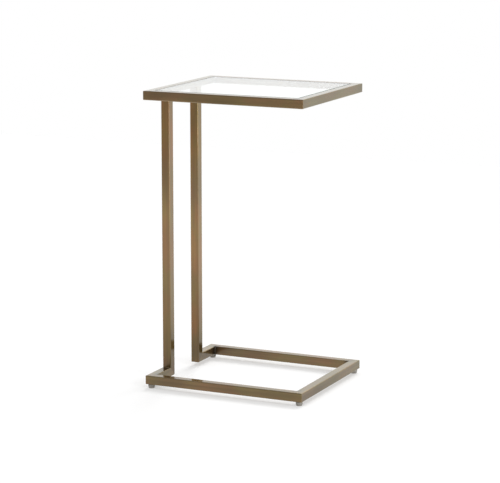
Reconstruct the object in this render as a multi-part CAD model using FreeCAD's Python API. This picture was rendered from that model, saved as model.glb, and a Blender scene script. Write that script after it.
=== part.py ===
import FreeCAD, Part
import os

# A pull-up table. Its square tube frame is a C seen from the front, and a glass pane lies flush in
# the top. The base is open at floor level between the posts, so that it slides under a seat.
# Millimetres. The origin is on the floor under the middle of the table, +Z is up, +X points to the
# open side of the C, the posts stand at -X, and the front is at -Y.

Vector = FreeCAD.Vector
UP = Vector(0, 0, 1)
QUARTER_TURN = 90
FULL_TURN = 360
HEXAGON = 6

# The table as a whole
HEIGHT = 660.0
WIDTH = 376.0
DEPTH = 330.0
POST_SETBACK = 84.0  # from the table's front to the front post, and from its back to the back post

# The square tube that all of the frame is cut from
TUBE = 20.0
WALL = 1.2
TUBE_ROUND = 2.0  # radius of its long outside edges
WELD_ROUND = 1.0  # what grinding leaves on the outside edge of a mitre
COPE_RISE = 1.4  # how far a post's walls rise round the rounded underside of the top rail

# The pane, the flat bar that carries it and the clear buttons between them
GLASS_THICK = 6.0
GLASS_GAP = 1.0
GLASS_CORNER = 3.0
GLASS_ARRIS = 0.5
LEDGE_WIDTH = 12.0
LEDGE_THICK = 3.0
BUMPER_RADIUS = 4.0
BUMPER_CROWN_RADIUS = 2.5
BUMPER_THICK = 1.5

# A levelling foot: the threaded insert in the tube's lower wall
FOOT_DROP = 9.0  # from the underside of the base tubes to the floor, with the foot screwed home
INSERT_RADIUS = 4.5
INSERT_LENGTH = 11.0  # above the underside of the tube
FLANGE_RADIUS = 6.5
FLANGE_THICK = 0.6
INSERT_CLEAR = 0.05

# Its stud, with a hexagonal collar and a button end
THREAD_RADIUS = 3.0
THREAD_LENGTH = 16.0  # above the collar
THREAD_CLEAR = 0.05
THREAD_TIP = 0.6
COLLAR_ACROSS = 8.0  # across flats
COLLAR_THICK = 2.0
NECK_RADIUS = 2.2
HEAD_RADIUS = 3.4
HEAD_THICK = 1.0

# Its grip, moulded round the collar, and its pad, which stays still while the stud turns
GRIP_RADIUS = 7.5
GRIP_SKIN = 1.0  # under the collar
GRIP_CLEAR = 0.3  # between the grip and the insert's flange
PAD_HEIGHT = 3.4
PAD_TOP_RADIUS = 7.0
PAD_SOLE_RADIUS = 6.2
PAD_FLOOR = 1.2
SWIVEL_GAP = 0.2  # between the pad and the grip
SWIVEL_CLEAR = 0.05  # round the stud's head and neck

# How far a cutting shape runs past what it cuts
OVERRUN = 5.0

# Heights above the floor that several pieces share
TOP_UNDERSIDE = HEIGHT - TUBE
LEDGE_TOP = HEIGHT - GLASS_THICK - BUMPER_THICK
BASE_AXIS = FOOT_DROP + TUBE / 2
FLANGE_UNDERSIDE = FOOT_DROP - FLANGE_THICK
HEAD_BOTTOM = PAD_FLOOR + SWIVEL_CLEAR
HEAD_TOP = HEAD_BOTTOM + HEAD_THICK
GRIP_BOTTOM = PAD_HEIGHT + SWIVEL_GAP
GRIP_TOP = FLANGE_UNDERSIDE - GRIP_CLEAR
COLLAR_BOTTOM = GRIP_BOTTOM + GRIP_SKIN
COLLAR_TOP = COLLAR_BOTTOM + COLLAR_THICK

CORNERS = ["front_left", "front_right", "back_right", "back_left"]


def save(name, shape):
    """Write one piece to its own file."""
    shape.exportStep("parts/" + name + ".step")


def plan_corners(inset, height):
    """The corners of the table's plan, moved in by inset: front left, then anticlockwise."""
    x = WIDTH / 2 - inset
    y = DEPTH / 2 - inset
    return [Vector(-x, -y, height), Vector(x, -y, height), Vector(x, y, height), Vector(-x, y, height)]


def rounded_rectangle(across, up, radius):
    """The face of a rectangle about the origin, with round corners."""
    x = across / 2 - radius
    y = up / 2 - radius
    centres = [Vector(x, y, 0), Vector(-x, y, 0), Vector(-x, -y, 0), Vector(x, -y, 0)]
    edges = []
    for turn, centre in enumerate(centres):
        start = QUARTER_TURN * turn
        arc = Part.makeCircle(radius, centre, UP, start, start + QUARTER_TURN)
        if edges:
            edges.append(Part.makeLine(edges[-1].lastVertex().Point, arc.firstVertex().Point))
        edges.append(arc)
    edges.append(Part.makeLine(edges[-1].lastVertex().Point, edges[0].firstVertex().Point))
    return Part.Face(Part.Wire(edges))


def prism(points, rise):
    """A flat polygon, swept along rise."""
    return Part.Face(Part.makePolygon(points + points[:1])).extrude(rise)


def turned(profile):
    """A piece turned about the vertical axis, from (radius, height) points."""
    points = [Vector(radius, 0, height) for radius, height in profile]
    face = Part.Face(Part.makePolygon(points + points[:1]))
    return face.revolve(Vector(0, 0, 0), UP, FULL_TURN)


def direction(start, end):
    """The unit vector from one point to another."""
    return (end - start).normalize()


def bar(section, start, end):
    """A section about the origin, swept from one point to another."""
    swept = section.extrude(UP * (end - start).Length)
    swept.Placement = FreeCAD.Placement(start, FreeCAD.Rotation(UP, end - start))
    return swept


def square_tube(start, end):
    """A straight length of the tube."""
    half_bore = TUBE / 2 - WALL
    low = Vector(-half_bore, -half_bore, 0)
    bore = Part.makePlane(2 * half_bore, 2 * half_bore, low)
    outside = bar(rounded_rectangle(TUBE, TUBE, TUBE_ROUND), start, end)
    return outside.cut(bar(bore, start, end))


def beyond(point, away):
    """A block that fills the far side of the plane through point, square to away."""
    reach = 4 * TUBE
    block = Part.makeBox(reach, reach, reach, Vector(-reach / 2, -reach / 2, 0))
    block.Placement = FreeCAD.Placement(point, FreeCAD.Rotation(UP, away))
    return block


def weld_grinding(corner, arriving, leaving):
    """What grinding takes off the outside edge of a mitre: a square bar less a round one."""
    axis = arriving.cross(leaving)
    half_length = TUBE / 2 + OVERRUN
    outward = arriving - leaving
    centre = corner + outward * (TUBE / 2 - WELD_ROUND) - axis * half_length
    reach = WELD_ROUND + OVERRUN
    square = [centre, centre + arriving * reach, centre + outward * reach, centre - leaving * reach]
    waste = prism(square, axis * (2 * half_length))
    return waste.cut(Part.makeCylinder(WELD_ROUND, 2 * half_length, centre, axis))


def tube_run(points, closed):
    """Tubes along a path of corners, mitred halfway between each tube and the next."""
    path = points + points[:1] if closed else points
    ways = [direction(start, end) for start, end in zip(path, path[1:])]
    last = len(ways) - 1
    tubes = []
    for number, along in enumerate(ways):
        start, end = path[number], path[number + 1]
        before = ways[number - 1] if closed or number > 0 else None
        after = ways[(number + 1) % len(ways)] if closed or number < last else None
        spare = along * (TUBE / 2 + OVERRUN)
        tube = square_tube(start - spare if before else start, end + spare if after else end)
        if before:
            tube = tube.cut(beyond(start, (before + along) * -1))
            tube = tube.cut(weld_grinding(start, before, along))
        if after:
            tube = tube.cut(beyond(end, along + after))
            tube = tube.cut(weld_grinding(end, along, after))
        tubes.append(tube)
    return tubes


def top_rails():
    """The four mitred rails of the top frame."""
    names = ["top_front_rail", "top_right_rail", "top_back_rail", "top_left_rail"]
    corners = plan_corners(TUBE / 2, HEIGHT - TUBE / 2)
    return dict(zip(names, tube_run(corners, closed=True)))


def stand():
    """The posts and the base, one run of tube from the front post's top to the back post's."""
    x = TUBE / 2 - WIDTH / 2
    y = DEPTH / 2 - POST_SETBACK - TUBE / 2
    post_top = TOP_UNDERSIDE + COPE_RISE
    points = [Vector(x, -y, post_top), Vector(x, -y, BASE_AXIS)]
    points += plan_corners(TUBE / 2, BASE_AXIS)
    points += [Vector(x, y, BASE_AXIS), Vector(x, y, post_top)]
    names = ["front_post", "base_front_stub", "base_front_rail", "base_right_rail"]
    names += ["base_back_rail", "base_back_stub", "back_post"]
    tubes = dict(zip(names, tube_run(points, closed=False)))

    # The post's top is coped to the rounded underside of the rail that it is welded to
    rail_axis = HEIGHT - TUBE / 2
    rail_ends = Vector(x, -DEPTH / 2, rail_axis), Vector(x, DEPTH / 2, rail_axis)
    rail = bar(rounded_rectangle(TUBE, TUBE, TUBE_ROUND), *rail_ends)
    for name in ["front_post", "back_post"]:
        tubes[name] = tubes[name].cut(rail)

    # A hole through the lower wall at each corner, half in each of the tubes that meet there
    hole = Part.makeCylinder(INSERT_RADIUS + INSERT_CLEAR, TUBE / 2 + OVERRUN)
    for corner in plan_corners(TUBE / 2, FOOT_DROP - OVERRUN):
        here = hole.translated(corner)
        for name in names[1:-1]:
            tubes[name] = tubes[name].cut(here)
    return tubes


def ledges():
    """Four flat bars, mitred, welded inside the top frame under the pane."""
    names = ["top_front_ledge", "top_right_ledge", "top_back_ledge", "top_left_ledge"]
    bottom = LEDGE_TOP - LEDGE_THICK
    outer = plan_corners(TUBE, bottom)
    inner = plan_corners(TUBE + LEDGE_WIDTH, bottom)
    bars = []
    for here in range(len(names)):
        after = (here + 1) % len(names)
        outline = [outer[here], outer[after], inner[after], inner[here]]
        bars.append(prism(outline, UP * LEDGE_THICK))
    return dict(zip(names, bars))


def bumper():
    """The clear button that lies on the ledges at each corner of the pane."""
    crown = BUMPER_CROWN_RADIUS, BUMPER_THICK
    return turned([(0, 0), (BUMPER_RADIUS, 0), crown, (0, BUMPER_THICK)])


def pane():
    """The glass: a flat pane with rounded corners and ground arrises."""
    margin = TUBE + GLASS_GAP
    face = rounded_rectangle(WIDTH - 2 * margin, DEPTH - 2 * margin, GLASS_CORNER)
    glass = face.extrude(UP * GLASS_THICK)
    rims = [edge for edge in glass.Edges if edge.BoundBox.ZLength < GLASS_ARRIS]
    return glass.makeChamfer(GLASS_ARRIS, rims).translated(UP * (HEIGHT - GLASS_THICK))


def foot_insert():
    """The threaded insert: a flange under the wall and a barrel through it, with a plain bore."""
    bore = THREAD_RADIUS + THREAD_CLEAR
    top = FOOT_DROP + INSERT_LENGTH
    return turned(
        [
            (bore, FLANGE_UNDERSIDE),
            (FLANGE_RADIUS, FLANGE_UNDERSIDE),
            (FLANGE_RADIUS, FOOT_DROP),
            (INSERT_RADIUS, FOOT_DROP),
            (INSERT_RADIUS, top),
            (bore, top),
        ]
    )


def foot_stud():
    """The stud: a round head, a neck, a hexagonal collar and a threaded shank, upwards."""
    tip = COLLAR_TOP + THREAD_LENGTH
    spindle = turned(
        [
            (0, HEAD_BOTTOM),
            (HEAD_RADIUS, HEAD_BOTTOM),
            (HEAD_RADIUS, HEAD_TOP),
            (NECK_RADIUS, HEAD_TOP),
            (NECK_RADIUS, COLLAR_TOP),
            (THREAD_RADIUS, COLLAR_TOP),
            (THREAD_RADIUS, tip - THREAD_TIP),
            (THREAD_RADIUS - THREAD_TIP, tip),
            (0, tip),
        ]
    )
    point = Vector(COLLAR_ACROSS / 3**0.5, 0, COLLAR_BOTTOM)
    turns = [FreeCAD.Rotation(UP, FULL_TURN * corner / HEXAGON) for corner in range(HEXAGON)]
    collar = prism([turn.multVec(point) for turn in turns], UP * COLLAR_THICK)
    return spindle.fuse(collar)


def foot_grip(stud):
    """The grip: a round knob, moulded round the stud's collar and neck."""
    knob = Part.makeCylinder(GRIP_RADIUS, GRIP_TOP - GRIP_BOTTOM, Vector(0, 0, GRIP_BOTTOM))
    return knob.cut(stud)


def foot_pad():
    """The pad: tapered to its sole, with a pocket that holds the stud's head and lets it turn."""
    pocket = HEAD_RADIUS + SWIVEL_CLEAR
    ceiling = HEAD_TOP + SWIVEL_CLEAR
    mouth = NECK_RADIUS + SWIVEL_CLEAR
    return turned(
        [
            (0, 0),
            (PAD_SOLE_RADIUS, 0),
            (PAD_TOP_RADIUS, PAD_HEIGHT),
            (mouth, PAD_HEIGHT),
            (mouth, ceiling),
            (pocket, ceiling),
            (pocket, PAD_FLOOR),
            (0, PAD_FLOOR),
        ]
    )


def feet():
    """Four levelling feet, one under the middle of each base corner, less their inserts."""
    stud = foot_stud()
    pieces = {"stud": stud, "grip": foot_grip(stud), "pad": foot_pad()}
    places = dict(zip(CORNERS, plan_corners(TUBE / 2, 0)))
    return {
        "foot_" + piece + "_" + corner: shape.translated(place)
        for corner, place in places.items()
        for piece, shape in pieces.items()
    }


def at_each(shape, places):
    """Copies of a piece at several places, as one group of separate solids."""
    return Part.makeCompound([shape.translated(place) for place in places])


os.makedirs("parts", exist_ok=True)
table = {**top_rails(), **ledges(), **stand(), **feet()}
table["foot_inserts"] = at_each(foot_insert(), plan_corners(TUBE / 2, 0))
table["glass_bumpers"] = at_each(bumper(), plan_corners(TUBE + LEDGE_WIDTH / 2, LEDGE_TOP))
table["glass_top"] = pane()
for name, shape in table.items():
    save(name, shape)
    print(name, len(shape.Solids), round(shape.Volume), shape.isValid())
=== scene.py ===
# %% [markdown]
# # A pull-up table in antique bronze and glass
#
# The table is a C of square steel tube with a clear pane let into its top. Its construction is
# already modelled at real size, and it arrives here as a fixed frame of named pieces. What is left
# to make is the finish of every surface, the screw threads of the feet, the small welds, and the
# studio. Nothing in the frame is moved or resized: a finish goes on it, or a new piece stands for
# one of its pieces in the same place.

# %% Load the frame
import math

import bpy
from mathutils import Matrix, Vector


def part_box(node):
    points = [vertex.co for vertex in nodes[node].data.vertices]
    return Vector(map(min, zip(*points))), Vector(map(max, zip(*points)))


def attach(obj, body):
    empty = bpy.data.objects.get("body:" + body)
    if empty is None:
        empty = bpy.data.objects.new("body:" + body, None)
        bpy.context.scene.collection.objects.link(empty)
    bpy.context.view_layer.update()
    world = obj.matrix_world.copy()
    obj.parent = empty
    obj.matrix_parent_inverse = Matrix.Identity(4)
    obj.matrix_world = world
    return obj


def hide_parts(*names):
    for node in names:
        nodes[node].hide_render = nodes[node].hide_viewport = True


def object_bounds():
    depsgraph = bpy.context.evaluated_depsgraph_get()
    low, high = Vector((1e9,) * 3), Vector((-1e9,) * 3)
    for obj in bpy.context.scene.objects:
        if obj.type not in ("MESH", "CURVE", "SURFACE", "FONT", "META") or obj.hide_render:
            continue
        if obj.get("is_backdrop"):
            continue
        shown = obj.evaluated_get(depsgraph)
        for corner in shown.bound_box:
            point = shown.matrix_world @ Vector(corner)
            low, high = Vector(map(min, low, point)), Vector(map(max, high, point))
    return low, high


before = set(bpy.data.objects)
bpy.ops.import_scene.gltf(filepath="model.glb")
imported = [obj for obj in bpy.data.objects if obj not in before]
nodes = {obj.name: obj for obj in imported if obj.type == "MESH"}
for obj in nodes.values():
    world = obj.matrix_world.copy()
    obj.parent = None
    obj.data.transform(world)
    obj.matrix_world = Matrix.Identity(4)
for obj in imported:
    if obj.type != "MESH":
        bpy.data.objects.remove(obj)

cad_low, cad_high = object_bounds()
print("frame of", len(nodes), "pieces, size in metres", tuple(round(x, 4) for x in cad_high - cad_low))

# %% [markdown]
# ## Units and helpers
#
# Blender works in metres, and a maker thinks of this table in millimetres, so every small size
# below is written as a number of millimetres times MM. Colours are written as they look on a
# screen, in hex, and one function turns them into the linear light that shaders add up.
#
# Materials are graphs of nodes. One helper adds a node, sets what it is told to set and links
# whatever node it is handed, so that a graph reads from top to bottom like a recipe. Sockets go by
# their names or, where that is shorter, by their places: a Map Range takes its value at 0, the
# range it comes from at 1 and 2, and the range it goes to at 3 and 4, and a Mix of two colours
# takes the share of the second at 0 and the colours at 6 and 7.

# %% Millimetres, colours and nodes
MM = 0.001


def linear(hex_colour):
    """The linear colour of a hex sRGB colour, with an alpha of 1."""
    channels = [int(hex_colour[at : at + 2], 16) / 255 for at in (1, 3, 5)]
    bright = [c / 12.92 if c <= 0.04045 else ((c + 0.055) / 1.055) ** 2.4 for c in channels]
    return (*bright, 1.0)


def add_node(tree, kind, sockets=None, **settings):
    """Add a node with its settings. A socket takes a value, or a node or an output to link to it."""
    node = tree.nodes.new("ShaderNode" + kind)
    for name, value in settings.items():
        setattr(node, name, value)
    for name, value in (sockets or {}).items():
        if isinstance(value, bpy.types.Node):
            value = next(output for output in value.outputs if output.enabled)
        if isinstance(value, bpy.types.NodeSocket):
            tree.links.new(value, node.inputs[name])
        else:
            node.inputs[name].default_value = value
    return node


def empty_material(name):
    """A material with nothing in it but its output."""
    material = bpy.data.materials.new(name)
    material.use_nodes = True
    material.node_tree.nodes.clear()
    return material


def put_on(material, pieces):
    """Make a material the only one of each piece."""
    for piece in pieces:
        piece.data.materials.clear()
        piece.data.materials.append(material)


# %% [markdown]
# ## The camera
#
# The camera stands where the photographer's stood. Lines that are parallel on the table, such as
# its rails and posts, run together towards the picture's vanishing points, and fitting them gives
# the angle, the distance and the lens. It is a long lens from nearly five metres, which is why the
# posts look parallel. Measuring the angles round a point in the middle of the table keeps the four
# numbers easy to change one at a time.

# %% Camera
CAMERA_AIM = Vector((0.0025, -0.0275, 0.3214))
CAMERA_DISTANCE = 4.706
CAMERA_AZIMUTH = 24.9
CAMERA_ELEVATION = 10.83
LENS_MM = 153.9
SENSOR_MM = 36.0

azimuth = math.radians(CAMERA_AZIMUTH)
elevation = math.radians(CAMERA_ELEVATION)
away = Vector((math.sin(azimuth), -math.cos(azimuth), math.tan(elevation))).normalized()
lens = bpy.data.cameras.new("camera")
lens.lens = LENS_MM
lens.sensor_width = SENSOR_MM
camera = bpy.data.objects.new("camera", lens)
camera.location = CAMERA_AIM + away * CAMERA_DISTANCE
camera.rotation_euler = (-away).to_track_quat("-Z", "Y").to_euler()
bpy.context.scene.collection.objects.link(camera)
bpy.context.scene.camera = camera
print("camera at", tuple(round(x, 3) for x in camera.location))

# %% [markdown]
# ## The studio
#
# A table shot on white stands in a room that is bright behind it and dimmer behind the
# photographer and up at the ceiling. Metal shows this more than anything, because it has no colour
# of its own but only a tint on what it mirrors. The world is therefore plain white to the camera
# and through glass, and for mirrored rays it is white behind the table and dims to the front and
# overhead. The light that falls on the table comes from the world at a lower level and from two
# lamps.

# %% World
bpy.context.scene.view_settings.view_transform = "Standard"

WORLD_FILL = 0.62
FRONT_LEVEL, FRONT_FADE_FROM = 0.5, -0.75
BACK_LEVEL, BACK_FADE_TO = 1.12, 0.05
CEILING_LEVEL, CEILING_FADE_FROM, CEILING_FADE_TO = 0.4, 0.55, 0.85
WHITE = linear("#ffffff")

world = bpy.data.worlds.new("studio")
world.use_nodes = True
bpy.context.scene.world = world
tree = world.node_tree
tree.nodes.clear()
ray = add_node(tree, "LightPath")
where = add_node(tree, "TexCoord")
heading = add_node(tree, "SeparateXYZ", {0: where.outputs["Generated"]})
to_front = add_node(
    tree,
    "MapRange",
    {0: heading.outputs["Y"], 1: FRONT_FADE_FROM, 2: BACK_FADE_TO, 3: FRONT_LEVEL, 4: BACK_LEVEL},
    interpolation_type="SMOOTHSTEP",
)
overhead = add_node(
    tree,
    "MapRange",
    {0: heading.outputs["Z"], 1: CEILING_FADE_FROM, 2: CEILING_FADE_TO, 3: 1.0, 4: CEILING_LEVEL},
    interpolation_type="SMOOTHSTEP",
)
level = add_node(tree, "Math", {0: to_front, 1: overhead}, operation="MULTIPLY")
lit = add_node(tree, "Background", {"Color": WHITE, "Strength": WORLD_FILL})
mirrored = add_node(tree, "Background", {"Color": WHITE, "Strength": level})
seen = add_node(tree, "Background", {"Color": WHITE, "Strength": 1.0})
direct = {0: ray.outputs["Is Camera Ray"], 1: ray.outputs["Is Transmission Ray"]}
straight = add_node(tree, "Math", direct, operation="MAXIMUM")
shiny = add_node(tree, "MixShader", {0: ray.outputs["Is Glossy Ray"], 1: lit, 2: mirrored})
studio = add_node(tree, "MixShader", {0: straight, 1: shiny, 2: seen})
add_node(tree, "OutputWorld", {"Surface": studio})
print("world lit at", WORLD_FILL, "and mirrored at", FRONT_LEVEL, "to", BACK_LEVEL)

# %% [markdown]
# The floor is white paper. To the camera it is part glow and part paper: the glow lifts it to the
# white of the background, so that the two meet without a seam, and the paper is lit like any paper
# and so keeps the table's shadow. What the metal mirrors is a pool of light that is dimmer close to
# the table and bright from a good step away. A low part of a post mirrors the dimmer paper close by,
# its middle mirrors the bright part, and its upper part mirrors paper far off, which is still bright
# behind the table and fades in front of it.

# %% Floor
FLOOR_REACH = 3.2
PAPER = linear("#ededed")
FLOOR_GLOW_SHARE = 0.3
FLOOR_GLOW = 1.42
MIRRORED_SHARE = 0.85
POOL_MIDDLE = Vector((0.0, -0.3, 0.0))
POOL_NEAR, POOL_NEAR_LEVEL = 0.1, 0.8
POOL_BRIGHT, POOL_BRIGHT_LEVEL = 1.3, 1.3
POOL_FADE_FROM, POOL_FADE_TO, POOL_FADE_LEVEL = -1.7, -3.2, 0.45

paper = empty_material("white_background_paper")
tree = paper.node_tree
ray = add_node(tree, "LightPath")
place = add_node(tree, "TexCoord").outputs["Object"]
from_middle = add_node(tree, "VectorMath", {0: place, 1: POOL_MIDDLE}, operation="DISTANCE")
frontwards = add_node(tree, "SeparateXYZ", {0: place}).outputs["Y"]
rise = add_node(
    tree,
    "MapRange",
    {0: from_middle, 1: POOL_NEAR, 2: POOL_BRIGHT, 3: POOL_NEAR_LEVEL, 4: POOL_BRIGHT_LEVEL},
    interpolation_type="SMOOTHSTEP",
)
fade = add_node(
    tree,
    "MapRange",
    {0: frontwards, 1: POOL_FADE_TO, 2: POOL_FADE_FROM, 3: POOL_FADE_LEVEL, 4: 1.0},
    interpolation_type="SMOOTHSTEP",
)
pool = add_node(tree, "Math", {0: rise, 1: fade}, operation="MULTIPLY")
direct = {0: ray.outputs["Is Camera Ray"], 1: ray.outputs["Is Transmission Ray"]}
straight = add_node(tree, "Math", direct, operation="MAXIMUM")
seen_share = add_node(tree, "Math", {0: straight, 1: FLOOR_GLOW_SHARE}, operation="MULTIPLY")
glossy = ray.outputs["Is Glossy Ray"]
mirrored_share = add_node(tree, "Math", {0: glossy, 1: MIRRORED_SHARE}, operation="MULTIPLY")
share = add_node(tree, "Math", {0: seen_share, 1: mirrored_share}, operation="MAXIMUM")
level = add_node(tree, "Mix", {0: glossy, 2: FLOOR_GLOW, 3: pool}, data_type="FLOAT")
sheet = add_node(tree, "BsdfDiffuse", {"Color": PAPER})
glow = add_node(tree, "Emission", {"Color": WHITE, "Strength": level})
surface = add_node(tree, "MixShader", {0: share, 1: sheet, 2: glow})
add_node(tree, "OutputMaterial", {"Surface": surface})

corners = [(-1, -1, 0), (1, -1, 0), (1, 1, 0), (-1, 1, 0)]
floor_mesh = bpy.data.meshes.new("floor")
floor_mesh.from_pydata([Vector(corner) * FLOOR_REACH for corner in corners], [], [(0, 1, 2, 3)])
floor = bpy.data.objects.new("floor", floor_mesh)
bpy.context.scene.collection.objects.link(floor)
put_on(paper, [floor])
floor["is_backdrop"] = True
print("floor", 2 * FLOOR_REACH, "m across")

# %% [markdown]
# The key light is a broad box overhead and behind, so the shadows of the rails fall forwards, wide
# and pale. A sun lamp with a wide angle does this evenly over the whole floor, where a nearby lamp
# would leave the edges dim. A tall softbox on the right draws a line down the posts' edges.

# %% Lamps
KEY_STRENGTH = 1.62
KEY_ANGLE = 29.0
KEY_TILT = Vector((0.05, -0.95, -1))
SIDE_STRENGTH_W = 17.0
SIDE_WIDTH, SIDE_HEIGHT = 0.5, 1.5
SIDE_PLACE = Vector((2.0, -1.0, 0.8))

key = bpy.data.lights.new("overhead_key", "SUN")
key.energy = KEY_STRENGTH
key.angle = math.radians(KEY_ANGLE)
key_lamp = bpy.data.objects.new("overhead_key", key)
key_lamp.rotation_euler = KEY_TILT.to_track_quat("-Z", "Y").to_euler()

side = bpy.data.lights.new("side_softbox", "AREA")
side.shape = "RECTANGLE"
side.size = SIDE_WIDTH
side.size_y = SIDE_HEIGHT
side.energy = SIDE_STRENGTH_W
side_lamp = bpy.data.objects.new("side_softbox", side)
side_lamp.location = SIDE_PLACE
side_lamp.rotation_euler = (CAMERA_AIM - SIDE_PLACE).to_track_quat("-Z", "Y").to_euler()

for lamp in [key_lamp, side_lamp]:
    bpy.context.scene.collection.objects.link(lamp)
    print("lamp", lamp.name)

# %% [markdown]
# ## Antique bronze on brushed steel tube
#
# The tubes are mild steel, brushed along their length, plated and darkened to an antique bronze,
# and sealed with a clear lacquer. To the eye that is three things. The metal is dark and warm and
# mirrors the room in its own tint. The brushing draws each reflection out into a band across the
# tube. The lacquer adds a pale, sharp reflection of its own, which hardly shows face on and takes
# over at a grazing angle: that is why the tops of the rails look so much paler than their fronts.
#
# A metallic Principled shader makes the metal, and its coat makes the lacquer. The brushing is the
# shader's anisotropy, and it needs to be told which way is across the tube: the direction square
# to both the face and the tube. The specular tint is the colour that the metal goes to at a
# grazing angle. It is yellower on the tubes that run from left to right than on the others, and
# that difference is a painted reflection colour, not a difference in the metal.
#
# The darkening was wiped on by hand, so it is uneven in three ways: in streaks along the tube, in
# patches a hand's width long that are a little deeper, and in clouds that go from a redder brown to
# an olive one. Noise makes all three. It stays mostly between 0.3 and 0.7, so a Map Range picks
# the part of that range which shows. Where a run of tube starts in the noise decides where the
# streaks and clouds fall, and each direction's start was picked, out of a few, because it puts the
# red and the olive about where this table has them.
#
# Edges are rubbed a little brighter, and that lighter colour also stands as a painted highlight
# along them. They are found by their normals: on a flat face the normal lies along an axis, and on a
# rounded edge it does not. Shade is painted into the colour too, as a darker bronze where shade
# falls: in the inside corners of the frames, along the rim beside the pane, and round the foot of
# each post. Those places are found by their distance from a corner, counted only in the directions
# that matter: x and y for the frames' corners, the height and one of those for the rim, and only the
# height for the posts. The frames are the same on both sides of their middle, so a place is first
# folded over to the right and the back, and one corner does for all four.

# %% Patterns along a tube
BRUSH_LENGTH, BRUSH_SPACING = 45 * MM, 0.5 * MM  # real marks are about 0.1 mm apart
STREAK_LENGTH, STREAK_SPACING = 260 * MM, 6 * MM
PATCH_LENGTH, PATCH_WIDTH = 120 * MM, 60 * MM
CLOUD_LENGTH, CLOUD_WIDTH = 70 * MM, 30 * MM
NOISE_STARTS = [9, 1, 1]
FLAT_FACING, EDGE_FACING = 0.98, 0.8
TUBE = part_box("front_post")[1].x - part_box("front_post")[0].x
RIM_X, RIM_Y = cad_high.x - TUBE, cad_high.y - TUBE
# Each painted shade has the directions that count, the corner, how far the shade reaches, and its
# share there
FRAME_CORNER_SHADE = ((1, 1, 0), (RIM_X, RIM_Y, 0), 14 * MM, 0.85)
POST_FOOT_SHADE = ((0, 0, 1), (0, 0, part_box("base_front_rail")[1].z), 110 * MM, 0.4)
RIM_SHADE_ALONG_X = ((0, 1, 1), (0, RIM_Y, cad_high.z), 4 * MM, 0.95)
RIM_SHADE_ALONG_Y = ((1, 0, 1), (RIM_X, 0, cad_high.z), 4 * MM, 0.95)
PAINTED_SHADE_PLACES = [[FRAME_CORNER_SHADE, RIM_SHADE_ALONG_X], [FRAME_CORNER_SHADE, RIM_SHADE_ALONG_Y], [POST_FOOT_SHADE]]
print("tube", round(TUBE / MM, 2), "mm square")


def stretched_noise(tree, along, length, width, detail, start=0):
    """Noise drawn out along one axis, in metres of the frame, from a place in the noise."""
    place = add_node(tree, "TexCoord")
    scale = [1 / width] * 3
    scale[along] = 1 / length
    stretched = add_node(
        tree,
        "Mapping",
        {"Vector": place.outputs["Object"], "Scale": scale, "Location": [start] * 3},
    )
    return add_node(tree, "TexNoise", {"Vector": stretched, "Scale": 1.0, "Detail": detail})


def off_axis(tree):
    """How far the surface's normal is from the nearest axis: 0 on a flat face, 1 on an edge."""
    facing = add_node(tree, "TexCoord").outputs["Normal"]
    parts = add_node(
        tree, "SeparateXYZ", {0: add_node(tree, "VectorMath", {0: facing}, operation="ABSOLUTE")}
    )
    largest = add_node(
        tree, "Math", {0: parts.outputs["X"], 1: parts.outputs["Y"]}, operation="MAXIMUM"
    )
    largest = add_node(tree, "Math", {0: largest, 1: parts.outputs["Z"]}, operation="MAXIMUM")
    return add_node(
        tree, "MapRange", {0: largest, 1: FLAT_FACING, 2: EDGE_FACING, 3: 0.0, 4: 1.0}
    )


def painted_shade(tree, directions, corner, reach, share):
    """The share of painted shade in a corner, which fades to nothing over its reach."""
    place = add_node(tree, "TexCoord").outputs["Object"]
    mirrored = add_node(tree, "VectorMath", {0: place}, operation="ABSOLUTE")
    counted = add_node(tree, "VectorMath", {0: mirrored, 1: directions}, operation="MULTIPLY")
    away = add_node(tree, "VectorMath", {0: counted, 1: corner}, operation="DISTANCE")
    return add_node(tree, "MapRange", {0: away, 1: 0.0, 2: reach, 3: share, 4: 0.0})


# %% Colour of the bronze
BRONZE_REDS = [linear("#906d48"), linear("#896d4c"), linear("#976b3b")]
BRONZE_OLIVES = [linear("#877446"), linear("#7f7148"), linear("#8c7239")]
BRONZE_DARK = linear("#5f4c31")
# The colour of the painted shade in the corners, along the rim and at the post feet.
BRONZE_PAINTED_SHADE = linear("#2b251a")
# Lighter edge colour: partly real rubbing, partly a painted highlight.
BRONZE_RUBBED_AND_HIGHLIGHT = linear("#a6926e")
STREAK_SHARE, PATCH_SHARE, GROOVE_SHARE = 0.45, 0.5, 0.3
RUBBED_AND_HIGHLIGHT_SHARE, RUBBED_AND_HIGHLIGHT_SHARE_IN_STREAK = 0.55, 0.28


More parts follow.
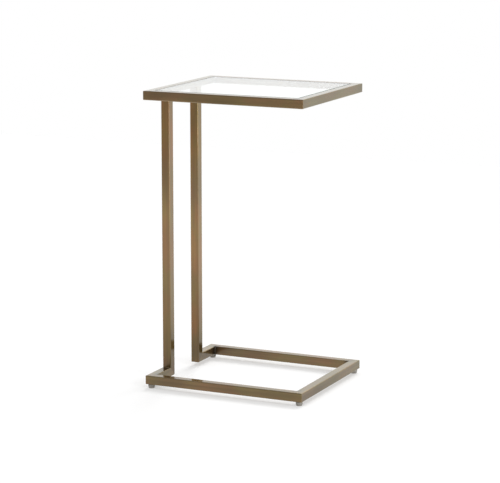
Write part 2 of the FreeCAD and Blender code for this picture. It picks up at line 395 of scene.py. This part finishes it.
def bronze_colour(tree, along, marks):
    """The colour of a tube that runs along one axis, from the clouds out to the rubbed edges with
    their painted highlight and the painted shade.
    """
    start = NOISE_STARTS[along]
    streaks = stretched_noise(tree, along, STREAK_LENGTH, STREAK_SPACING, 2.0, start)
    patches = stretched_noise(tree, along, PATCH_LENGTH, PATCH_WIDTH, 1.0, start)
    clouds = stretched_noise(tree, along, CLOUD_LENGTH, CLOUD_WIDTH, 3.0, start)

    olive = add_node(tree, "MapRange", {0: clouds, 1: 0.38, 2: 0.62, 3: 0.0, 4: 1.0})
    metal = add_node(
        tree, "Mix", {0: olive, 6: BRONZE_REDS[along], 7: BRONZE_OLIVES[along]}, data_type="RGBA"
    )
    dark = add_node(tree, "MapRange", {0: streaks, 1: 0.35, 2: 0.75, 3: 0.0, 4: STREAK_SHARE})
    deep = add_node(tree, "MapRange", {0: patches, 1: 0.4, 2: 0.7, 3: 0.0, 4: PATCH_SHARE})
    grooves = add_node(tree, "MapRange", {0: marks, 1: 0.3, 2: 0.5, 3: GROOVE_SHARE, 4: 0.0})
    for share in [dark, deep, grooves]:
        metal = add_node(tree, "Mix", {0: share, 6: metal, 7: BRONZE_DARK}, data_type="RGBA")

    # The edges go lighter here: partly rubbed, partly a painted highlight along them.
    rubbed_and_highlight = {0: streaks, 1: 0.25, 2: 0.6, 3: RUBBED_AND_HIGHLIGHT_SHARE, 4: RUBBED_AND_HIGHLIGHT_SHARE_IN_STREAK}
    wear_and_highlight = add_node(tree, "MapRange", rubbed_and_highlight)
    worn_and_highlit = add_node(tree, "Math", {0: off_axis(tree), 1: wear_and_highlight}, operation="MULTIPLY")
    metal = add_node(tree, "Mix", {0: worn_and_highlit, 6: metal, 7: BRONZE_RUBBED_AND_HIGHLIGHT}, data_type="RGBA")
    # Painted shade: darker bronze in the frames' inside corners, along the rim by the pane and round
    # the post feet.
    for place in PAINTED_SHADE_PLACES[along]:
        left = painted_shade(tree, *place)
        metal = add_node(tree, "Mix", {0: left, 6: metal, 7: BRONZE_PAINTED_SHADE}, data_type="RGBA")
    return metal


print("bronze from", len(BRONZE_REDS), "reds and", len(BRONZE_OLIVES), "olives")

# %% Bronze
# The yellower tint of the tubes along x is a painted reflection colour; the others are the metal's
# own.
BRONZE_GRAZING_AND_PAINTED_REFLECTION = [linear("#d3cebc"), linear("#bdc2ba"), linear("#c0c4bc")]
BRUSH_DEPTH = 0.045 * MM
BRUSH_ANISOTROPY = 0.75
BRUSH_SMOOTH, BRUSH_ROUGH = 0.3, 0.4
LACQUER_ROUGHNESS = 0.08


def antique_bronze(along):
    """Brushed, bronzed and lacquered steel, with its brush marks along one axis."""
    material = empty_material("antique_bronze_brushed_along_" + "xyz"[along])
    tree = material.node_tree
    marks = stretched_noise(tree, along, BRUSH_LENGTH, BRUSH_SPACING, 2.0)
    relief = add_node(tree, "Bump", {"Strength": 1.0, "Distance": BRUSH_DEPTH, "Height": marks})
    roughness = add_node(
        tree, "MapRange", {0: marks, 1: 0.25, 2: 0.75, 3: BRUSH_SMOOTH, 4: BRUSH_ROUGH}
    )
    facing = add_node(tree, "NewGeometry").outputs["Normal"]
    tube = [float(axis == along) for axis in range(3)]
    across = add_node(tree, "VectorMath", {0: facing, 1: tube}, operation="CROSS_PRODUCT")
    shader = add_node(
        tree,
        "BsdfPrincipled",
        {
            "Base Color": bronze_colour(tree, along, marks),
            "Metallic": 1.0,
            "Roughness": roughness,
            "Specular Tint": BRONZE_GRAZING_AND_PAINTED_REFLECTION[along],
            "Anisotropic": BRUSH_ANISOTROPY,
            "Tangent": across,
            "Normal": relief,
            "Coat Weight": 1.0,
            "Coat Roughness": LACQUER_ROUGHNESS,
        },
    )
    add_node(tree, "OutputMaterial", {"Surface": shader})
    return material


# %% Bronze on every tube
TUBES_ALONG = [
    ["top_front_rail", "top_back_rail", "top_front_ledge", "top_back_ledge"]
    + ["base_front_rail", "base_back_rail"],
    ["top_left_rail", "top_right_rail", "top_left_ledge", "top_right_ledge"]
    + ["base_right_rail", "base_front_stub", "base_back_stub"],
    ["front_post", "back_post"],
]
bronzes = [antique_bronze(along) for along in range(3)]
for bronze, names in zip(bronzes, TUBES_ALONG):
    put_on(bronze, [nodes[name] for name in names])
    print(bronze.name, "on", len(names), "pieces")

# %% [markdown]
# ## Welds
#
# The outside of each mitre is ground flush and brushed over, and nothing of its weld is left to
# see. In the inside corners, where no grinder reaches, the weld stays as it was laid: a bead a
# little over a millimetre wide with fine ripples, one for each dip of the filler rod, drawn down to
# almost nothing at both ends. The ledges under the glass are only tacked, in two places each.
#
# A bead is a row of small arcs that span the corner, each a little flatter in its middle than a
# quarter of a circle. One function makes it from the corner's line and the two directions that lead
# away from it along the two faces.

# %% Weld beads
WELD_LEG = 1.2 * MM
WELD_RIPPLE, WELD_RIPPLE_SHARE = 0.9 * MM, 0.07
WELD_FLAT_SHARE = 0.18
WELD_END_SHARE, WELD_END_RISE = 0.15, 5
WELD_STEP, WELD_FEWEST_STEPS = 0.3 * MM, 8
WELD_ARC = 5
EDGE_ROUND = 2 * MM


def weld_bead(name, start, end, first, second):
    """A rippled fillet along the line from start to end, in the corner of two faces."""
    start, end, first, second = (Vector(v) for v in (start, end, first, second))
    count = max(WELD_FEWEST_STEPS, round((end - start).length / WELD_STEP))
    points, faces = [], []
    for ring in range(count + 1):
        share = ring / count
        along = share * (end - start).length
        ripple = 1 + WELD_RIPPLE_SHARE * math.cos(2 * math.pi * along / WELD_RIPPLE)
        taper = min(1.0, WELD_END_SHARE + WELD_END_RISE * min(share, 1 - share))
        leg = WELD_LEG * taper * ripple / (1 + WELD_RIPPLE_SHARE)
        corner = start.lerp(end, share)
        points.append(corner)
        for step in range(WELD_ARC + 1):
            turn = step / WELD_ARC * math.pi / 2
            bulge = 1 - WELD_FLAT_SHARE * (1 - abs(math.cos(2 * turn)))
            points.append(corner + bulge * leg * (first * math.cos(turn) + second * math.sin(turn)))
    ring_size = WELD_ARC + 2
    for ring in range(count):
        for at in range(ring_size):
            low, high = ring * ring_size, (ring + 1) * ring_size
            after = (at + 1) % ring_size
            faces.append((low + at, low + after, high + after, high + at))
    faces.append(tuple(reversed(range(ring_size))))
    faces.append(tuple(count * ring_size + at for at in range(ring_size)))
    if first.cross(second).dot(end - start) < 0:
        faces = [tuple(reversed(face)) for face in faces]
    mesh = bpy.data.meshes.new(name)
    mesh.from_pydata(points, [], faces)
    mesh.shade_smooth()
    bead = bpy.data.objects.new(name, mesh)
    bpy.context.scene.collection.objects.link(bead)
    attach(bead, "frame")
    return bead


# %% Welds at the posts and the base
x_axis, y_axis, z_axis = Vector((1, 0, 0)), Vector((0, 1, 0)), Vector((0, 0, 1))
beads = []
for post_name in ["front_post", "back_post"]:
    low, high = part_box(post_name)
    under_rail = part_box("top_left_rail")[0].z
    for side_name, y, outwards in [("front", low.y, -y_axis), ("back", high.y, y_axis)]:
        beads.append(
            weld_bead(
                post_name + "_top_weld_" + side_name,
                (low.x + EDGE_ROUND, y, under_rail),
                (high.x - EDGE_ROUND, y, under_rail),
                outwards,
                -z_axis,
            )
        )

base_low, base_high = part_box("base_front_rail")[0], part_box("base_back_rail")[1]
on_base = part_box("base_front_rail")[1].z
in_left, in_right = base_low.x + TUBE, base_high.x - TUBE
in_front, in_back = base_low.y + TUBE, base_high.y - TUBE
for name, y, outwards in [
    ("front_post_foot_weld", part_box("front_post")[0].y, -y_axis),
    ("back_post_foot_weld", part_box("back_post")[1].y, y_axis),
]:
    ends = (base_low.x + EDGE_ROUND, y, on_base), (in_left - EDGE_ROUND, y, on_base)
    beads.append(weld_bead(name, *ends, outwards, z_axis))
for name, x, y, right, back in [
    ("base_front_left_weld", in_left, in_front, 1, 1),
    ("base_front_right_weld", in_right, in_front, -1, 1),
    ("base_back_right_weld", in_right, in_back, -1, -1),
    ("base_back_left_weld", in_left, in_back, 1, -1),
]:
    ends = (x, y, base_low.z + EDGE_ROUND), (x, y, on_base - EDGE_ROUND)
    beads.append(weld_bead(name, *ends, right * x_axis, back * y_axis))
print(len(beads), "weld beads at the posts and the base")

# %% Tacks under the ledges
TACK_LENGTH = 12 * MM

for name, out in [("front", -y_axis), ("right", x_axis), ("back", y_axis), ("left", -x_axis)]:
    low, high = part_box("top_" + name + "_ledge")
    middle = (low + high) / 2
    edge = Vector([high[axis] if out[axis] > 0 else low[axis] for axis in range(3)])
    run = x_axis if abs(out.y) else y_axis
    line = Vector([middle[axis] if run[axis] else edge[axis] for axis in range(3)])
    line.z = low.z
    reach = (high - low).dot(run) / 4
    for end_name, place in [("a", -reach), ("b", reach)]:
        tack_name = "top_" + name + "_ledge_tack_" + end_name
        start = line + run * (place - TACK_LENGTH / 2)
        beads.append(weld_bead(tack_name, start, start + run * TACK_LENGTH, -out, -z_axis))
put_on(bronzes[0], beads)
print(len(beads), "weld beads with the tacks")

# %% [markdown]
# ## The glass
#
# The pane is 6 mm toughened float glass with polished faces and finely ground edges. Seen at a low
# angle it mirrors far more than it lets through. Thin as it is, it looks clear through its faces
# and sea green at its edges, because the iron in float glass colours only a long path, and a volume
# that absorbs a little red does the same here. A ground edge is matt, so it also catches the light
# itself: there the shader turns from clear glass to a satin sea green, darkened as painted shade
# for the shade that the frame casts into the inset edge. The edge is found by the normal, which
# points up or down on the faces and sideways on the edge. This pane mirrors a little more than
# bare glass does, so a thin coat is added. Lamps shine through real glass, so the pane casts no
# shadow and bounced light passes it as if it were not there.

# %% Glass
GLASS_ABSORBS = 11.0
GLASS_CLEAR = linear("#fbfdfc")
# The ground edge's sea green, darkened as painted shade from the frame.
GLASS_EDGE_AND_PAINTED_SHADE = linear("#46655a")
GLASS_TINT = linear("#c9e6da")
GLASS_COAT = 0.4
SIDEWAYS, UPRIGHT = 0.75, 0.98
EDGE_CLEARNESS, EDGE_ROUGHNESS = 0.1, 0.4

glass = empty_material("toughened_float_glass")
tree = glass.node_tree
facing = add_node(tree, "SeparateXYZ", {0: add_node(tree, "TexCoord").outputs["Normal"]})
upright = add_node(tree, "Math", {0: facing.outputs["Z"]}, operation="ABSOLUTE")
clear = add_node(
    tree, "MapRange", {0: upright, 1: SIDEWAYS, 2: UPRIGHT, 3: EDGE_CLEARNESS, 4: 1.0}
)
colour = add_node(tree, "Mix", {0: clear, 6: GLASS_EDGE_AND_PAINTED_SHADE, 7: GLASS_CLEAR}, data_type="RGBA")
matt = add_node(
    tree, "MapRange", {0: clear, 1: EDGE_CLEARNESS, 2: 1.0, 3: EDGE_ROUGHNESS, 4: 0.0}
)
shader = add_node(
    tree,
    "BsdfPrincipled",
    {
        "Base Color": colour,
        "Transmission Weight": clear,
        "IOR": 1.52,
        "Roughness": matt,
        "Coat Weight": GLASS_COAT,
        "Coat Roughness": 0.0,
    },
)
tint = add_node(tree, "VolumeAbsorption", {"Color": GLASS_TINT, "Density": GLASS_ABSORBS})
add_node(tree, "OutputMaterial", {"Surface": shader, "Volume": tint})
pane = nodes["glass_top"]
put_on(glass, [pane])
pane.visible_shadow = False
pane.visible_diffuse = False
print(glass.name, "on the pane")

# %% [markdown]
# Four clear buttons of soft polyurethane keep the pane off the ledges. The stuff is not quite as
# clear as glass and its moulded skin is satin, so it is rough glass with a lower index.

# %% Buttons under the glass
BUTTON_GRAIN = 0.6 * MM
BUTTON_CLEAR = linear("#eef2f2")
BUTTON_SMOOTH, BUTTON_ROUGH = 0.25, 0.45

clear_rubber = empty_material("clear_polyurethane")
tree = clear_rubber.node_tree
grain = stretched_noise(tree, 0, BUTTON_GRAIN, BUTTON_GRAIN, 2.0)
satin = add_node(
    tree, "MapRange", {0: grain, 1: 0.3, 2: 0.7, 3: BUTTON_SMOOTH, 4: BUTTON_ROUGH}
)
shader = add_node(
    tree,
    "BsdfPrincipled",
    {
        "Base Color": BUTTON_CLEAR,
        "Transmission Weight": 0.9,
        "IOR": 1.49,
        "Roughness": satin,
    },
)
add_node(tree, "OutputMaterial", {"Surface": shader})
put_on(clear_rubber, [nodes["glass_bumpers"]])
print(clear_rubber.name, "on the buttons")

# %% [markdown]
# ## The feet
#
# Each foot is a zinc-plated stud in a zinc-plated insert, with a grip and a pad of grey nylon.
# Zinc plate is a soft bluish grey metal with a fine crystalline mottle. Nylon parts come out of a
# spark-eroded mould with an even, matt grain of about a third of a millimetre, and with edges that
# are never quite sharp, which a small bevel gives them. The frame's pieces arrive as loose faces,
# and a bevel works only where two faces share an edge, so a Weld modifier joins them first.

# %% Zinc
ZINC_GRAIN = 0.5 * MM
ZINC_DARK, ZINC_LIGHT = linear("#b3b6b8"), linear("#cfd0cd")
ZINC_SMOOTH, ZINC_ROUGH = 0.28, 0.42

zinc = empty_material("zinc_plated_steel")
tree = zinc.node_tree
mottle = stretched_noise(tree, 2, ZINC_GRAIN, ZINC_GRAIN, 3.0)
colour = add_node(tree, "Mix", {0: mottle, 6: ZINC_DARK, 7: ZINC_LIGHT}, data_type="RGBA")
dull = add_node(tree, "MapRange", {0: mottle, 1: 0.3, 2: 0.7, 3: ZINC_SMOOTH, 4: ZINC_ROUGH})
shader = add_node(
    tree, "BsdfPrincipled", {"Base Color": colour, "Metallic": 1.0, "Roughness": dull}
)
add_node(tree, "OutputMaterial", {"Surface": shader})
put_on(zinc, [nodes["foot_inserts"]])
print(zinc.name, "on the inserts")

# %% Nylon
NYLON_GRAIN, NYLON_DEPTH = 0.3 * MM, 0.015 * MM
NYLON_DARK, NYLON_LIGHT = linear("#928d86"), linear("#9e9991")
NYLON_EDGE = 0.45 * MM
JOINED_WITHIN = 0.001 * MM
CORNERS = ["front_left", "front_right", "back_right", "back_left"]

nylon = empty_material("moulded_grey_nylon")
tree = nylon.node_tree
grain = stretched_noise(tree, 2, NYLON_GRAIN, NYLON_GRAIN, 2.0)
relief = add_node(tree, "Bump", {"Strength": 1.0, "Distance": NYLON_DEPTH, "Height": grain})
colour = add_node(tree, "Mix", {0: grain, 6: NYLON_DARK, 7: NYLON_LIGHT}, data_type="RGBA")
shader = add_node(
    tree,
    "BsdfPrincipled",
    {"Base Color": colour, "IOR": 1.53, "Roughness": 0.55, "Normal": relief},
)
add_node(tree, "OutputMaterial", {"Surface": shader})

for part in ["foot_grip_", "foot_pad_"]:
    for corner in CORNERS:
        piece = nodes[part + corner]
        put_on(nylon, [piece])
        weld = piece.modifiers.new("joined_faces", "WELD")
        weld.merge_threshold = JOINED_WITHIN
        soft = piece.modifiers.new("soft_edges", "BEVEL")
        soft.width = NYLON_EDGE
        soft.segments = 2
print("nylon edges rounded by", NYLON_EDGE / MM, "mm")

# %% [markdown]
# The stud is one turned piece: a button head that the pad swivels on, a neck, a hexagonal collar
# that the grip is moulded round, and an M6 thread. The frame has its thread as a plain cylinder,
# which is right for the sizes and for how it moves, but a real thread catches the light in a way
# that no cylinder does. A Screw modifier would give a thread too. Here the whole stud is built as
# rings of points instead, because then one skin runs without a seam from the button to the tip, and
# each ring is free to be a circle, a hexagon or a slice of the thread.
#
# A slice of a thread is a circle whose radius depends on the angle. Where the height, counted in
# pitches, is ahead of the angle, counted in turns, by a whole number, the point is in the groove,
# and half a pitch on it is on the crest. A right-hand thread climbs as it turns anticlockwise.

# %% Shape of a stud
HEAD_RADIUS, HEAD_ROUND = 3.4 * MM, 0.15 * MM
HEAD_FROM, HEAD_TO = 1.25 * MM, 2.25 * MM
NECK_RADIUS = 2.2 * MM
HEX_HALF, HEX_FROM = 4.0 * MM, 4.6 * MM
PITCH, FLAT_SHARE = 1.0 * MM, 0.15
ROOT, CREST = 2.45 * MM, 3.0 * MM
RINGS_PER_PITCH = 6
THREAD_FROM, THREAD_TO, TIP = 6.6 * MM, 22.6 * MM, 0.6 * MM


def thread_radius(height, turn):
    """The radius of the thread at a height and at a share of a full turn."""
    phase = (height / PITCH - turn) % 1
    flank = (1 - abs(2 * phase - 1) - FLAT_SHARE) / (1 - 2 * FLAT_SHARE)
    flank = min(max(flank, 0), 1)
    return min(ROOT + (CREST - ROOT) * flank, CREST - max(0, height - (THREAD_TO - TIP)))


def hex_radius(height, turn):
    """The radius of the collar, with a corner where the turn is 0."""
    return HEX_HALF / math.cos(((turn * 6) % 1 - 0.5) * math.pi / 3)


def stud_rings():
    """Each ring's height, and its radius or the function that gives it."""
    rim = HEAD_RADIUS - HEAD_ROUND
    rings = [(HEAD_FROM, rim), (HEAD_FROM + HEAD_ROUND, HEAD_RADIUS)]
    rings += [(HEAD_TO - HEAD_ROUND, HEAD_RADIUS), (HEAD_TO, rim)]
    rings += [(HEAD_TO, NECK_RADIUS), (HEX_FROM, NECK_RADIUS)]
    rings += [(HEX_FROM, hex_radius), (THREAD_FROM, hex_radius)]
    count = round((THREAD_TO - THREAD_FROM) / PITCH * RINGS_PER_PITCH)
    heights = [THREAD_FROM + step * PITCH / RINGS_PER_PITCH for step in range(count + 1)]
    return rings + [(height, thread_radius) for height in heights]


print("a stud of", len(stud_rings()), "rings")

# %% Threaded studs
STUD_SIDES = 30
SHARP_EDGE_DEGREES = 35


def threaded_stud(corner):
    """One skin from the button to the tip of the thread, about the middle of the foot."""
    low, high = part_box("foot_stud_" + corner)
    middle = (low + high) / 2
    points, faces = [], []
    for height, radius in stud_rings():
        for side in range(STUD_SIDES):
            turn = side / STUD_SIDES
            reach = radius(height, turn) if callable(radius) else radius
            angle = 2 * math.pi * turn
            points.append(
                (middle.x + reach * math.cos(angle), middle.y + reach * math.sin(angle), height)
            )
    count = len(points) // STUD_SIDES
    for ring in range(count - 1):
        for side in range(STUD_SIDES):
            at, after = ring * STUD_SIDES + side, ring * STUD_SIDES + (side + 1) % STUD_SIDES
            faces.append((at, after, after + STUD_SIDES, at + STUD_SIDES))
    faces.append(tuple(reversed(range(STUD_SIDES))))
    faces.append(tuple(range((count - 1) * STUD_SIDES, count * STUD_SIDES)))
    mesh = bpy.data.meshes.new("threaded_stud_" + corner)
    mesh.from_pydata(points, [], faces)
    mesh.shade_smooth()
    mesh.set_sharp_from_angle(angle=math.radians(SHARP_EDGE_DEGREES))
    stud = bpy.data.objects.new("threaded_stud_" + corner, mesh)
    bpy.context.scene.collection.objects.link(stud)
    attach(stud, "screw_" + corner)
    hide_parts("foot_stud_" + corner)
    return stud


studs = [threaded_stud(corner) for corner in CORNERS]
put_on(zinc, studs)
print(len(studs), "threaded studs of", len(studs[0].data.polygons), "faces")

# %% [markdown]
# ## Done
#
# The new pieces stand where the frame's pieces stand, so the box round the dressed table is the
# frame's own box. Both are written down to be compared.

# %% Sizes and finish
low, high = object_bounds()
print("dressed table, size in metres", tuple(round(x, 4) for x in high - low))
